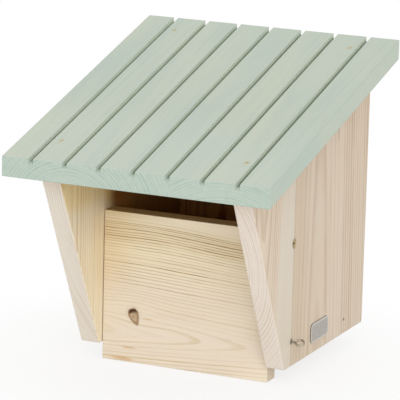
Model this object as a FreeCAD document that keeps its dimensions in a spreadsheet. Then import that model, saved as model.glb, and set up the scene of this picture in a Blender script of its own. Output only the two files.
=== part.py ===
import FreeCAD, Part
import math
import os
import Sketcher

# A half-open nest box for birds that nest in niches. Two raked sides carry a grooved lean-to roof and
# hold a back and a floor between them. The front board swings up on two pivot screws, and a screw eye
# through the right side locks it. Sizes are in millimetres and degrees.
# X runs to the right of someone who faces the front, Y towards the wall and Z up. The origin lies on
# the wall, midway between the two wall screws.

SIZES = {
    # boards: one stock thickness, with eased edges and rounded feet on the sides
    "board": 18.0,
    "edge_ease": 0.8,
    "foot_round": 3.0,
    # outline of the box: the sides' depth at the foot, and how far their front edge leans out above
    "box_width": 203.0,
    "side_depth": 190.5,
    "wing_reach": 89.5,
    "rear_height": 256.5,
    # roof
    "roof_slope": 15.5,
    "roof_reach": 300.0,
    "roof_overhang": 27.0,
    "groove_width": 4.8,
    "groove_depth": 4.8,
    "groove_pitch": 33.0,
    "groove_count": 7,
    "groove_shift": -1.0,
    # front board: its face behind the sides' feet, its top edge and the finger grip below the sides
    "front_setback": 5.5,
    "front_top": 125.5,
    "front_drop": 15.5,
    "front_side_gap": 0.8,
    "front_stop_gap": 0.3,
    # floor
    "floor_raise": 5.0,
    "drain_bore": 6.0,
    "drain_inset": 40.0,
    # wall screws
    "wall_screw_height": 150.0,
    "wall_screw_spacing": 100.0,
    "wall_screw_bore": 5.0,
    # pivot screws
    "pivot_below_top": 11.0,
    "pivot_shank": 2.9,
    "pivot_head": 8.0,
    "pivot_length": 45.0,
    "pivot_point": 4.0,
    "pivot_sunk": 0.6,
    "pivot_room": 0.05,
    "recess_span": 4.4,
    "recess_width": 0.9,
    "recess_depth": 1.6,
    # screw eye: bent from one wire, with its tip just inside the right side
    "eye_height": 23.5,
    "eye_wire": 2.1,
    "eye_ring": 9.3,
    "eye_bend": 1.8,
    "eye_mouth": 2.0,
    "eye_standoff": 3.8,
    "eye_tip_back": 0.2,
    "eye_tip_bevel": 0.7,
    "eye_tilt": 28.0,
    "eye_room": 0.05,
    "eye_pilot_room": 0.2,
    "eye_pilot_depth": 6.0,
    # roof nails, set back from the roof's two ends
    "roof_nail_shank": 2.2,
    "roof_nail_head": 4.2,
    "roof_nail_rim": 0.8,
    "roof_nail_length": 45.0,
    "roof_nail_sunk": 0.3,
    "roof_nail_rear": 27.0,
    "roof_nail_front": 39.0,
    "roof_nail_inset": 11.9,
    # brads through the sides and the back into the floor's edges
    "brad_shank": 1.6,
    "brad_head": 2.6,
    "brad_rim": 0.8,
    "brad_length": 38.0,
    "brad_sunk": 0.8,
    "brad_front_inset": 22.3,
    "brad_rear_inset": 30.2,
    "back_brad_spacing": 120.0,
    "nail_room": 0.05,
    # bare metal plate on the right side
    "plate_length": 41.5,
    "plate_height": 18.5,
    "plate_thick": 1.0,
    "plate_corner": 4.5,
    "plate_ease": 0.3,
    "plate_setback": 59.5,
    "plate_raise": 10.0,
    # how far a cutting tool runs past the surface it starts on
    "cut_past": 1.0,
}

doc = FreeCAD.newDocument("nest_box")
sheet = doc.addObject("Spreadsheet::Sheet", "dims")
for row, (alias, value) in enumerate(SIZES.items(), start=1):
    sheet.set(f"A{row}", alias)
    sheet.set(f"B{row}", str(value))
    sheet.setAlias(f"B{row}", alias)
doc.recompute()

# Directions for screws and nails, whose own axis runs from the head at Z 0 to the tip: an axis and an
# angle that turn Z to where the tip points.
TO_THE_LEFT = (FreeCAD.Vector(0, 1, 0), "-90")
TO_THE_RIGHT = (FreeCAD.Vector(0, 1, 0), "90")
TO_THE_FRONT = (FreeCAD.Vector(1, 0, 0), "90")
DOWN = (FreeCAD.Vector(1, 0, 0), "180")
INTO_THE_ROOF = (FreeCAD.Vector(1, 0, 0), "180 + dims.roof_slope")


def up(height):
    """Z of a height above the sides' feet."""
    return f"{height} - dims.wall_screw_height"


def roof_underside(y):
    """Z of the roof's underside at depth y."""
    return up(f"dims.rear_height + ({y}) * tan(dims.roof_slope)")


def roof_top(y):
    """Z of the roof's upper face at depth y."""
    return roof_underside(y) + " + dims.board / cos(dims.roof_slope)"


INNER_WIDTH = "(dims.box_width - 2 * dims.board)"
OUTER_FACE = "dims.box_width / 2"
SIDE_MIDDLE = "(dims.box_width - dims.board) / 2"
FOOT_FRONT = "-dims.side_depth"
WING_TIP = "-(dims.side_depth + dims.wing_reach)"
ROOF_FRONT = "-dims.roof_reach"
BACK_FRONT = "-dims.board"
FRONT_FACE = "(dims.front_setback - dims.side_depth)"
FRONT_MIDDLE = f"({FRONT_FACE} + dims.board / 2)"
FRONT_REAR = f"({FRONT_FACE} + dims.board)"
FLOOR_FRONT = f"({FRONT_REAR} + dims.front_stop_gap)"
FLOOR_MIDDLE = up("dims.floor_raise + dims.board / 2")
PIVOT_LEVEL = up("dims.front_top - dims.pivot_below_top")
EYE_LEVEL = up("dims.eye_height")


def bind(item, expressions):
    for path, expression in expressions.items():
        item.setExpression(path, expression)


def place(item, x, y, z, turn):
    """Put an item's origin at a point, turned about an axis by an angle."""
    axis, angle = turn
    item.Placement = FreeCAD.Placement(FreeCAD.Vector(), FreeCAD.Rotation(axis, 90))
    bind(item, {
        "Placement.Base.x": x,
        "Placement.Base.y": y,
        "Placement.Base.z": z,
        "Placement.Rotation.Angle": angle,
    })


# Boards and other flat pieces: an outline across the box, padded along X

def plane_sketch(body, name, role, offset="0"):
    """An empty sketch on one of a body's own origin planes, moved along its normal."""
    plane = next(feature for feature in body.Origin.OriginFeatures if feature.Role == role)
    sketch = body.newObject("Sketcher::SketchObject", name)
    sketch.AttachmentSupport = (plane, [""])
    sketch.MapMode = "FlatFace"
    sketch.setExpression("AttachmentOffset.Base.z", offset)
    return sketch


def measure(sketch, expression, *constraint):
    """Add a dimension to a sketch and tie it to an expression."""
    index = sketch.addConstraint(Sketcher.Constraint(*constraint))
    sketch.setExpression(f"Constraints[{index}]", expression)


def pin_point(sketch, geometry, end, across, along):
    """Tie one point of a sketch to the sketch's origin."""
    point = sketch.getPoint(geometry, end)
    measure(sketch, across, "DistanceX", -1, 1, geometry, end, point.x)
    measure(sketch, along, "DistanceY", -1, 1, geometry, end, point.y)


def outline(body, name, corners, centre):
    """A closed outline in depth and height, at the middle of the piece's width."""
    sketch = plane_sketch(body, name, "YZ_Plane", centre)
    count = len(corners)
    turns = [2 * math.pi * index / count for index in range(count)]
    start = [FreeCAD.Vector(math.cos(turn), math.sin(turn), 0) for turn in turns]
    for index in range(count):
        sketch.addGeometry(Part.LineSegment(start[index], start[(index + 1) % count]))
    for index in range(count):
        sketch.addConstraint(Sketcher.Constraint("Coincident", index, 2, (index + 1) % count, 1))
    for index, (depth, height) in enumerate(corners):
        pin_point(sketch, index, 1, depth, height)
    return sketch


def flat_piece(name, corners, width, centre="0"):
    body = doc.addObject("PartDesign::Body", name)
    pad = body.newObject("PartDesign::Pad", name + "_pad")
    pad.Profile = outline(body, name + "_outline", corners, centre)
    pad.SideType = "Symmetric"
    pad.setExpression("Length", width)
    doc.recompute()
    return body


def round_edges(body, edges, radius):
    """Round some edges of a body, or every edge where none are named."""
    base = body.Tip
    fillet = body.newObject("PartDesign::Fillet", body.Name + "_round")
    fillet.Base = (base, edges or ["Edge1"])
    fillet.UseAllEdges = not edges
    fillet.setExpression("Radius", radius)
    doc.recompute()


def edges_across(body, lowest_only):
    """Names of a body's straight edges along X, all of them or the lowest ones."""
    shape = body.Tip.Shape
    names = []
    for number, edge in enumerate(shape.Edges, start=1):
        first, last = (vertex.Point for vertex in edge.Vertexes)
        along_x = math.isclose(abs(last.x - first.x), edge.Length, rel_tol=1e-6)
        low = math.isclose(first.z, shape.BoundBox.ZMin, abs_tol=1e-4)
        if along_x and (low or not lowest_only):
            names.append(f"Edge{number}")
    return names


# Round pieces along their own Z axis, from the head's level down to the tip

def cylinder(name, diameter, start, end):
    item = doc.addObject("Part::Cylinder", name)
    bind(item, {"Radius": f"({diameter}) / 2", "Height": f"({end}) - ({start})", "Placement.Base.z": start})
    return item


def cone(name, start_diameter, end_diameter, start, end):
    item = doc.addObject("Part::Cone", name)
    bind(item, {
        "Radius1": f"({start_diameter}) / 2",
        "Radius2": f"({end_diameter}) / 2",
        "Height": f"({end}) - ({start})",
        "Placement.Base.z": start,
    })
    return item


def fused(name, pieces):
    item = doc.addObject("Part::MultiFuse", name)
    item.Shapes = pieces
    return item


def group(name, pieces):
    item = doc.addObject("Part::Compound", name)
    item.Links = pieces
    return item


def drilled(name, blank, holes):
    """A board with its holes cut."""
    item = doc.addObject("Part::Cut", name)
    item.Base = blank
    item.Tool = group(name + "_holes", holes)
    return item


def bore(name, diameter, depth, point, turn):
    """A plain hole that starts at a surface point."""
    item = fused(name, [
        cylinder(name + "_mouth", diameter, "-dims.cut_past", "dims.cut_past"),
        cylinder(name + "_wall", diameter, "0", depth),
    ])
    place(item, *point, turn)
    return item


def nail(name, kind, point, turn):
    """A flat-headed nail driven from a surface point, and the hole it sits in."""
    shank, head, rim, length, sunk = (
        f"dims.{kind}_{size}" for size in ("shank", "head", "rim", "length", "sunk"))
    tip = f"{sunk} + {length}"
    body = fused(name, [
        cylinder(name + "_head", head, sunk, f"{sunk} + {rim}"),
        cylinder(name + "_shank", shank, sunk, f"{tip} - 2 * {shank}"),
        cone(name + "_point", shank, f"{shank} / 8", f"{tip} - 2 * {shank}", tip),
    ])
    hole = fused(name + "_hole", [
        cylinder(name + "_seat", f"{head} + 2 * dims.nail_room", "-dims.cut_past", f"{sunk} + {rim}"),
        cylinder(name + "_track", f"{shank} + 2 * dims.nail_room", "0", f"{tip} + dims.nail_room"),
    ])
    for item in (body, hole):
        place(item, *point, turn)
    return body, hole


def pivot_screw(name, point, turn):
    """A countersunk screw with a smooth neck and a cross recess, and the hole it turns in."""
    cone_depth = "(dims.pivot_head - dims.pivot_shank) / 2"
    neck = f"dims.pivot_sunk + {cone_depth}"
    tip = "dims.pivot_sunk + dims.pivot_length"
    blank = fused(name + "_blank", [
        cone(name + "_head", "dims.pivot_head", "dims.pivot_shank", "dims.pivot_sunk", neck),
        cylinder(name + "_shank", "dims.pivot_shank", neck, f"{tip} - dims.pivot_point"),
        cone(name + "_point", "dims.pivot_shank", "dims.pivot_shank / 8", f"{tip} - dims.pivot_point", tip),
    ])
    arms = []
    for arm, (span_x, span_y) in {"a": ("span", "width"), "b": ("width", "span")}.items():
        slot = doc.addObject("Part::Box", f"{name}_recess_{arm}")
        bind(slot, {
            "Length": f"dims.recess_{span_x}",
            "Width": f"dims.recess_{span_y}",
            "Height": "dims.recess_depth + dims.cut_past",
            "Placement.Base.x": f"-dims.recess_{span_x} / 2",
            "Placement.Base.y": f"-dims.recess_{span_y} / 2",
            "Placement.Base.z": "dims.pivot_sunk - dims.cut_past",
        })
        arms.append(slot)
    body = doc.addObject("Part::Cut", name)
    body.Base = blank
    body.Tool = fused(name + "_recess", arms)
    mouth = "dims.pivot_head + 2 * (dims.pivot_sunk + dims.pivot_room)"
    bottom = "dims.pivot_shank + 2 * dims.pivot_room"
    hole = fused(name + "_hole", [
        cylinder(name + "_mouth", mouth, "-dims.cut_past", "0"),
        cone(name + "_seat", mouth, bottom, "0", neck),
        cylinder(name + "_track", bottom, "0", f"{tip} + dims.pivot_room"),
    ])
    for item in (body, hole):
        place(item, *point, turn)
    return body, hole


def screw_eye(name, point):
    """A wire eye: a straight shank from the tip outward, a bend to one side and a ring on the axis."""
    body = doc.addObject("PartDesign::Body", name)
    tip = "dims.eye_tip_back - dims.board"
    ring_radius = "(dims.eye_ring - dims.eye_wire) / 2"
    ring_centre = "dims.eye_standoff + dims.eye_ring / 2"

    ring = (sheet.eye_ring - sheet.eye_wire) / 2
    centre = sheet.eye_standoff + sheet.eye_ring / 2
    lean = math.asin(sheet.eye_bend / (ring + sheet.eye_bend))
    neck = centre - (ring + sheet.eye_bend) * math.cos(lean)
    mouth_turn = math.asin(sheet.eye_mouth / ring)
    normal = FreeCAD.Vector(0, 0, 1)
    bend_circle = Part.Circle(FreeCAD.Vector(neck, -sheet.eye_bend, 0), normal, sheet.eye_bend)
    ring_circle = Part.Circle(FreeCAD.Vector(centre, 0, 0), normal, ring)
    path = plane_sketch(body, name + "_path", "XY_Plane")
    shank_line = path.addGeometry(Part.LineSegment(
        FreeCAD.Vector(sheet.eye_tip_back - sheet.board, 0, 0), FreeCAD.Vector(neck, 0, 0)))
    bend_arc = path.addGeometry(Part.ArcOfCircle(bend_circle, lean, math.pi / 2))
    ring_arc = path.addGeometry(Part.ArcOfCircle(ring_circle, math.pi + lean, 3 * math.pi - mouth_turn))
    path.addConstraint(Sketcher.Constraint("Horizontal", shank_line))
    path.addConstraint(Sketcher.Constraint("Tangent", shank_line, 2, bend_arc, 2))
    path.addConstraint(Sketcher.Constraint("Tangent", bend_arc, 1, ring_arc, 1))
    pin_point(path, shank_line, 1, tip, "0")
    pin_point(path, ring_arc, 3, ring_centre, "0")
    measure(path, "dims.eye_bend", "Radius", bend_arc, sheet.eye_bend)
    measure(path, ring_radius, "Radius", ring_arc, ring)
    measure(path, "dims.eye_mouth", "DistanceY", -1, 1, ring_arc, 2, sheet.eye_mouth)

    section = plane_sketch(body, name + "_section", "YZ_Plane", tip)
    wire_circle = section.addGeometry(Part.Circle(FreeCAD.Vector(), normal, sheet.eye_wire / 2))
    section.addConstraint(Sketcher.Constraint("Coincident", wire_circle, 3, -1, 1))
    measure(section, "dims.eye_wire", "Diameter", wire_circle, sheet.eye_wire)

    wire = body.newObject("PartDesign::AdditivePipe", name + "_wire")
    wire.Profile = section
    wire.Spine = (path, [])
    doc.recompute()
    inner_end = min(range(len(wire.Shape.Edges)), key=lambda n: wire.Shape.Edges[n].CenterOfMass.x)
    bevel = body.newObject("PartDesign::Chamfer", name + "_tip")
    bevel.Base = (wire, [f"Edge{inner_end + 1}"])
    bevel.setExpression("Size", "dims.eye_tip_bevel")
    place(body, *point, (FreeCAD.Vector(1, 0, 0), "dims.eye_tilt"))
    return body


# Fasteners, by the side that they go through

sides = {"left": ("-", TO_THE_RIGHT), "right": ("", TO_THE_LEFT)}
holes = {"left": [], "right": [], "roof": [], "front": [], "floor": [], "back": []}
nodes = {}

roof_nails = []
for side, (sign, inward) in sides.items():
    for end, y in {"rear": "-dims.roof_nail_rear", "front": f"({ROOF_FRONT} + dims.roof_nail_front)"}.items():
        spot = (f"{sign}({OUTER_FACE} - dims.roof_nail_inset)", y, roof_top(y))
        body, hole = nail(f"roof_nail_{side}_{end}", "roof_nail", spot, INTO_THE_ROOF)
        roof_nails.append(body)
        holes["roof"].append(hole)
        holes[side].append(hole)
nodes["roof_nails"] = group("roof_nails", roof_nails)

floor_brads = []
for side, (sign, inward) in sides.items():
    for end, y in {
        "front": f"{FLOOR_FRONT} + dims.brad_front_inset",
        "rear": f"{BACK_FRONT} - dims.brad_rear_inset",
    }.items():
        spot = (f"{sign}({OUTER_FACE})", y, FLOOR_MIDDLE)
        body, hole = nail(f"floor_brad_{side}_{end}", "brad", spot, inward)
        floor_brads.append(body)
        holes["floor"].append(hole)
        holes[side].append(hole)
nodes["floor_brads"] = group("floor_brads", floor_brads)

back_brads = []
for side, (sign, inward) in sides.items():
    spot = (f"{sign}dims.back_brad_spacing / 2", "0", FLOOR_MIDDLE)
    body, hole = nail(f"back_brad_{side}", "brad", spot, TO_THE_FRONT)
    back_brads.append(body)
    holes["floor"].append(hole)
    holes["back"].append(hole)
nodes["back_brads"] = group("back_brads", back_brads)

for side, (sign, inward) in sides.items():
    spot = (f"{sign}({OUTER_FACE})", FRONT_MIDDLE, PIVOT_LEVEL)
    name = f"{side}_pivot_screw"
    nodes[name], hole = pivot_screw(name, spot, inward)
    holes["front"].append(hole)
    holes[side].append(hole)

eye_spot = (OUTER_FACE, FRONT_MIDDLE, EYE_LEVEL)
nodes["lock_eye"] = screw_eye("lock_eye", eye_spot)
holes["right"].append(bore(
    "eye_hole", "dims.eye_wire + 2 * dims.eye_room", "dims.board + dims.front_side_gap / 2",
    eye_spot, TO_THE_LEFT))
holes["front"].append(bore(
    "eye_pilot", "dims.eye_wire + 2 * dims.eye_pilot_room", "dims.eye_pilot_depth",
    (f"{INNER_WIDTH} / 2 - dims.front_side_gap", FRONT_MIDDLE, EYE_LEVEL), TO_THE_LEFT))

for side, (sign, inward) in sides.items():
    holes["back"].append(bore(
        f"wall_screw_hole_{side}", "dims.wall_screw_bore", "dims.board + dims.cut_past",
        (f"{sign}dims.wall_screw_spacing / 2", "0", "0"), TO_THE_FRONT))
    for end, y in {
        "front": f"{FLOOR_FRONT} + dims.drain_inset",
        "rear": f"{BACK_FRONT} - dims.drain_inset",
    }.items():
        holes["floor"].append(bore(
            f"drain_{side}_{end}", "dims.drain_bore", "dims.board + dims.cut_past",
            (f"{sign}({INNER_WIDTH} / 2 - dims.drain_inset)", y, up("dims.floor_raise + dims.board")), DOWN))


# Sides: raked boards with the grain upright, their front edges leaning out under the roof

for side, (sign, inward) in sides.items():
    blank = flat_piece(f"{side}_side_blank", [
        ("0", up("0")),
        (FOOT_FRONT, up("0")),
        (WING_TIP, roof_underside(WING_TIP)),
        ("0", roof_underside("0")),
    ], "dims.board", f"{sign}({SIDE_MIDDLE})")
    round_edges(blank, edges_across(blank, lowest_only=True), "dims.foot_round")
    round_edges(blank, [], "dims.edge_ease")
    nodes[f"{side}_side"] = drilled(f"{side}_side", blank, holes[side])


# Back and floor, held between the sides

blank = flat_piece("back_blank", [
    ("0", up("0")),
    (BACK_FRONT, up("0")),
    (BACK_FRONT, roof_underside(BACK_FRONT)),
    ("0", roof_underside("0")),
], INNER_WIDTH)
round_edges(blank, [], "dims.edge_ease")
nodes["back_panel"] = drilled("back_panel", blank, holes["back"])

blank = flat_piece("floor_blank", [
    (BACK_FRONT, up("dims.floor_raise")),
    (FLOOR_FRONT, up("dims.floor_raise")),
    (FLOOR_FRONT, up("dims.floor_raise + dims.board")),
    (BACK_FRONT, up("dims.floor_raise + dims.board")),
], INNER_WIDTH)
round_edges(blank, [], "dims.edge_ease")
nodes["floor_panel"] = drilled("floor_panel", blank, holes["floor"])


# Front board: closes the lower half and hangs below the sides as a finger grip

blank = flat_piece("front_blank", [
    (FRONT_REAR, up("-dims.front_drop")),
    (FRONT_FACE, up("-dims.front_drop")),
    (FRONT_FACE, up("dims.front_top")),
    (FRONT_REAR, up("dims.front_top")),
], f"{INNER_WIDTH} - 2 * dims.front_side_gap")
round_edges(blank, [], "dims.edge_ease")
nodes["front_panel"] = drilled("front_panel", blank, holes["front"])


# Roof: one sloping board with plumb ends, and a row of grooves milled along the fall

blank = flat_piece("roof_blank", [
    ("0", roof_underside("0")),
    (ROOF_FRONT, roof_underside(ROOF_FRONT)),
    (ROOF_FRONT, roof_top(ROOF_FRONT)),
    ("0", roof_top("0")),
], "dims.box_width + 2 * dims.roof_overhang")
round_edges(blank, [], "dims.edge_ease")
solid_volume = blank.Shape.Volume
past_rear = "dims.cut_past"
past_front = f"({ROOF_FRONT} - dims.cut_past)"
groove_drop = "dims.groove_depth / cos(dims.roof_slope)"
groove = blank.newObject("PartDesign::Pocket", "groove")
groove.Profile = outline(blank, "groove_outline", [
    (past_rear, f"{roof_top(past_rear)} - {groove_drop}"),
    (past_front, f"{roof_top(past_front)} - {groove_drop}"),
    (past_front, f"{roof_top(past_front)} + dims.cut_past"),
    (past_rear, f"{roof_top(past_rear)} + dims.cut_past"),
], "dims.groove_shift - dims.groove_pitch * (dims.groove_count - 1) / 2")
groove.SideType = "Symmetric"
groove.setExpression("Length", "dims.groove_width")
doc.recompute()
grooves = blank.newObject("PartDesign::LinearPattern", "grooves")
grooves.Originals = [groove]
grooves.Direction = (groove.Profile[0], ["N_Axis"])
grooves.Mode = "Spacing"
bind(grooves, {"Offset": "dims.groove_pitch", "Occurrences": "dims.groove_count"})
blank.Tip = grooves
doc.recompute()
nodes["roof_board"] = drilled("roof_board", blank, holes["roof"])


# Bare plate, fixed flat to the right side

PLATE_FRONT = f"({FOOT_FRONT} + dims.plate_setback)"
plate = flat_piece("side_plate", [
    (PLATE_FRONT, up("dims.plate_raise")),
    (f"{PLATE_FRONT} + dims.plate_length", up("dims.plate_raise")),
    (f"{PLATE_FRONT} + dims.plate_length", up("dims.plate_raise + dims.plate_height")),
    (PLATE_FRONT, up("dims.plate_raise + dims.plate_height")),
], "dims.plate_thick", f"{OUTER_FACE} + dims.plate_thick / 2")
round_edges(plate, edges_across(plate, lowest_only=False), "dims.plate_corner")
round_edges(plate, [], "dims.plate_ease")
nodes["side_plate"] = plate

doc.recompute()


# Check every object, then write one file for each piece

for item in doc.Objects:
    if "Invalid" in item.State or "Error" in item.State:
        raise RuntimeError(f"{item.Name} failed: {item.State}")
groove_volume = solid_volume - blank.Shape.Volume
print(f"grooves take {groove_volume:.0f} mm3 from the roof")
if groove_volume < 1:
    raise RuntimeError("the grooves cut nothing")

os.makedirs("parts", exist_ok=True)
for name, node in nodes.items():
    node.Label = name
    if node.Shape.isNull() or not node.Shape.isValid():
        raise RuntimeError(f"{name} has no valid shape")
    node.Shape.exportStep(f"parts/{name}.step")
    box = node.Shape.BoundBox
    print(f"{name}: {len(node.Shape.Solids)} solid(s), {node.Shape.Volume:.1f} mm3, "
          f"X {box.XMin:.2f} to {box.XMax:.2f}, Y {box.YMin:.2f} to {box.YMax:.2f}, "
          f"Z {box.ZMin:.2f} to {box.ZMax:.2f}")
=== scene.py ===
import math

import bmesh
import bpy
from mathutils import Matrix, Vector


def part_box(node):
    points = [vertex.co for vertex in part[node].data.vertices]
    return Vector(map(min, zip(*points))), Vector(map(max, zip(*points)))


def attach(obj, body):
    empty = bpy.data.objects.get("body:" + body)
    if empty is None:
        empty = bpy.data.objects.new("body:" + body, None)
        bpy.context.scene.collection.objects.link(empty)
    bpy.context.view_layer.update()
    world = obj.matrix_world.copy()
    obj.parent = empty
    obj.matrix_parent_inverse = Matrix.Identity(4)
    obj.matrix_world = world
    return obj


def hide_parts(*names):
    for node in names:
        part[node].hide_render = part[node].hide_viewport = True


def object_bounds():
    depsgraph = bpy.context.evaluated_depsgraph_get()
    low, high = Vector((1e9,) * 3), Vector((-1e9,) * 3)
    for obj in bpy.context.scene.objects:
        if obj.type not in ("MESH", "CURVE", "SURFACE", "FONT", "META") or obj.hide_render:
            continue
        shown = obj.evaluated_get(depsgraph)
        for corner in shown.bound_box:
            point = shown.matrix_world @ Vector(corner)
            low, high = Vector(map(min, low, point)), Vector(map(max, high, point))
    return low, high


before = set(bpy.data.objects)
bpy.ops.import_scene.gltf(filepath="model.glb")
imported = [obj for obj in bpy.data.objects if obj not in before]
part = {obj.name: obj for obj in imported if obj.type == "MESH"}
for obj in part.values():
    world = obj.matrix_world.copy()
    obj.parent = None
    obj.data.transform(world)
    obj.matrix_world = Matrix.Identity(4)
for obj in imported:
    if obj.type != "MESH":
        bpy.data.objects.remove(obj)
cad_low, cad_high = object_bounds()


# The back is a planed pine board, glued up from two staves with their grain upright. It stands between the
# sides, and two holes in it take the screws that hang the box on a wall. Towards the chamber it is painted
# dark brown, a painted shade of the dark chamber.

def seen(red, green, blue):
    """A colour as the eye reads it, 0 to 255, turned into the light that a shader counts in."""
    return tuple(((c / 255 + 0.055) / 1.055) ** 2.4 for c in (red, green, blue)) + (1.0,)


class Recipe:
    """How a finish is mixed: the node tree of one material, or of an effect that several of them share."""

    def __init__(self, tree):
        self.tree = tree

    def feed(self, socket, value):
        if isinstance(value, bpy.types.NodeSocket):
            self.tree.links.new(value, socket)
        else:
            socket.default_value = value

    def node(self, kind, wired=None, **settings):
        made = self.tree.nodes.new("ShaderNode" + kind)
        for name, value in settings.items():
            setattr(made, name, value)
        for name, value in (wired or {}).items():
            self.feed(made.inputs[name], value)
        return made

    def shared(self, group, wired):
        return self.node("Group", wired, node_tree=group).outputs

    def math(self, operation, *values):
        return self.node("Math", dict(enumerate(values)), operation=operation).outputs[0]

    def add(self, first, *others):
        for other in others:
            first = self.math("ADD", first, other)
        return first

    def times(self, first, *others):
        for other in others:
            first = self.math("MULTIPLY", first, other)
        return first

    def larger(self, first, second):
        return self.math("MAXIMUM", first, second)

    def scaled(self, value, factor, base):
        return self.math("MULTIPLY_ADD", value, factor, base)

    def swing(self, value, amount):
        """A noise of 0 to 1 as a push either way, by half the amount at most."""
        return self.scaled(value, amount, -amount / 2)

    def off(self, value, middle):
        """How far a value is from the middle, on either side."""
        return self.math("ABSOLUTE", self.math("SUBTRACT", value, middle))

    def ramp(self, value, start, end, low=0.0, high=1.0):
        wired = {"Value": value, "From Min": start, "From Max": end, "To Min": low, "To Max": high}
        return self.node("MapRange", wired, interpolation_type="SMOOTHSTEP").outputs["Result"]

    def axis(self, vector, name):
        return self.node("SeparateXYZ", {"Vector": vector}).outputs[name]

    def vector(self, operation, first, second=(0, 0, 0)):
        made = self.node("VectorMath", {0: first, 1: second}, operation=operation)
        return made.outputs["Value" if operation in ("LENGTH", "DOT_PRODUCT") else "Vector"]

    def noise(self, place, seed, scale, along=1.0, detail=2.0):
        """Noise that is drawn out along Z where along is under 1."""
        drawn = self.vector("MULTIPLY", place, (1.0, 1.0, along))
        wired = {"Vector": drawn, "W": seed, "Scale": scale, "Detail": detail}
        return self.node("TexNoise", wired, noise_dimensions="4D").outputs[0]

    def mix(self, share, first, second, blend="MIX"):
        made = self.node("Mix", {0: share, 6: first, 7: second}, data_type="RGBA", blend_type=blend)
        return made.outputs[2]

    def shaded(self, colour, tone):
        """A colour made lighter or darker by a plain factor."""
        grey = self.node("CombineColor", {0: tone, 1: tone, 2: tone}).outputs[0]
        return self.mix(1.0, colour, grey, "MULTIPLY")


def shared_effect(name, takes, gives):
    """A node group with those named inputs and outputs, as its recipe and its two ends."""
    tree = bpy.data.node_groups.new(name, "ShaderNodeTree")
    for in_out, sockets in (("INPUT", takes), ("OUTPUT", gives)):
        for label, kind in sockets.items():
            tree.interface.new_socket(label, in_out=in_out, socket_type="NodeSocket" + kind)
    return Recipe(tree), tree.nodes.new("NodeGroupInput").outputs, tree.nodes.new("NodeGroupOutput").inputs


def new_finish(name):
    """A new material, and the recipe that it is mixed by."""
    material = bpy.data.materials.new(name)
    material.use_nodes = True
    return material, Recipe(material.node_tree)


def lay_on(material, *nodes):
    """Gives CAD nodes their finish."""
    for node in nodes:
        part[node].material_slots[0].material = material


def floats(*names):
    return dict.fromkeys(names, "Float")


WOOD = ("Latewood", "Sapwood", "Fibre", "Streak", "Drift", "Pores")
CUTS = ("End Grain", "Slant Cut", "Eased Edge")
FACES = ("Face A", "Face B", "Face C", "Face D", "Face E")


def growth_rings():
    """A trunk as it grew: a ring for each year about a pith along Z, and fibre that runs along it."""
    grown, given, gives = shared_effect("growth_rings", {
        "Place": "Vector", **floats("Ring Width", "Crowding", "Taper", "Waver", "Heartwood", "Bend",
                                    "Late Start", "Phase", "Seed"),
    }, floats(*WOOD, "Radius"))
    place, seed = given["Place"], given["Seed"]

    def pushed(scale, along, amount):
        return grown.swing(grown.noise(place, seed, scale, along), amount)

    radius = grown.add(
        grown.vector("LENGTH", grown.vector("MULTIPLY", place, (1, 1, 0))),
        grown.times(grown.axis(place, "Z"), given["Taper"]),
        grown.times(pushed(scale=14, along=0.15, amount=2.0), given["Waver"]),
        pushed(scale=110, along=0.22, amount=0.0012),
        pushed(scale=900, along=0.06, amount=0.0005),
        given["Bend"],
    )
    crowded = grown.scaled(grown.times(radius, radius), given["Crowding"], radius)
    count = grown.math("DIVIDE", crowded, given["Ring Width"])
    fat_and_lean = grown.node("TexNoise", {"W": count, "Scale": 0.43, "Detail": 1.0}, noise_dimensions="1D")
    count = grown.add(count, grown.swing(fat_and_lean.outputs[0], 0.9), given["Phase"])
    season, this_year = grown.math("FRACT", count), grown.add(grown.math("FLOOR", count), seed)
    year = grown.node("TexWhiteNoise", {"W": this_year}, noise_dimensions="1D").outputs["Value"]
    darkest, frost, hardening = 0.88, 0.9, 1.5
    summer = grown.math("POWER", grown.ramp(season, given["Late Start"], darkest), hardening)
    winter = grown.ramp(season, 1.0, frost)
    patchy = grown.ramp(grown.noise(place, seed, scale=70, along=0.3), 0.3, 0.65, 0.5, 1.0)
    sap_edge = 0.0015
    grew = {
        "Radius": radius,
        "Latewood": grown.times(summer, winter, patchy, grown.scaled(year, 0.8, 0.3)),
        "Sapwood": grown.ramp(grown.math("SUBTRACT", radius, given["Heartwood"]), -sap_edge, sap_edge),
        "Fibre": grown.noise(place, seed, scale=1900, along=0.02, detail=3.0),
        "Streak": grown.noise(place, seed, scale=240, along=0.03, detail=3.0),
        "Drift": grown.noise(place, seed, scale=13, along=0.35),
        "Pores": grown.ramp(grown.noise(place, seed, scale=2600, along=0.05, detail=0.0), 0.68, 0.80),
    }
    for name, value in grew.items():
        grown.feed(gives[name], value)
    return grown.tree


def board_faces():
    """What a saw and a plane left: how far a face is cut across the grain, and where an edge is eased."""
    cut, given, gives = shared_effect(
        "board_faces", dict.fromkeys(("Normal", "Grain", *FACES), "Vector"), floats(*CUTS))

    def square_to(direction):
        return cut.math("ABSOLUTE", cut.vector("DOT_PRODUCT", given["Normal"], given[direction]))

    across = square_to("Grain")
    squarest = 0.0
    for face in FACES:
        squarest = cut.larger(squarest, square_to(face))
    cut.feed(gives["End Grain"], cut.ramp(across, 0.6, 0.95))
    cut.feed(gives["Slant Cut"], cut.times(cut.ramp(across, 0.2, 0.4), cut.ramp(across, 0.85, 0.6)))
    cut.feed(gives["Eased Edge"], cut.ramp(squarest, 0.998, 0.94))
    return cut.tree


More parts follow.
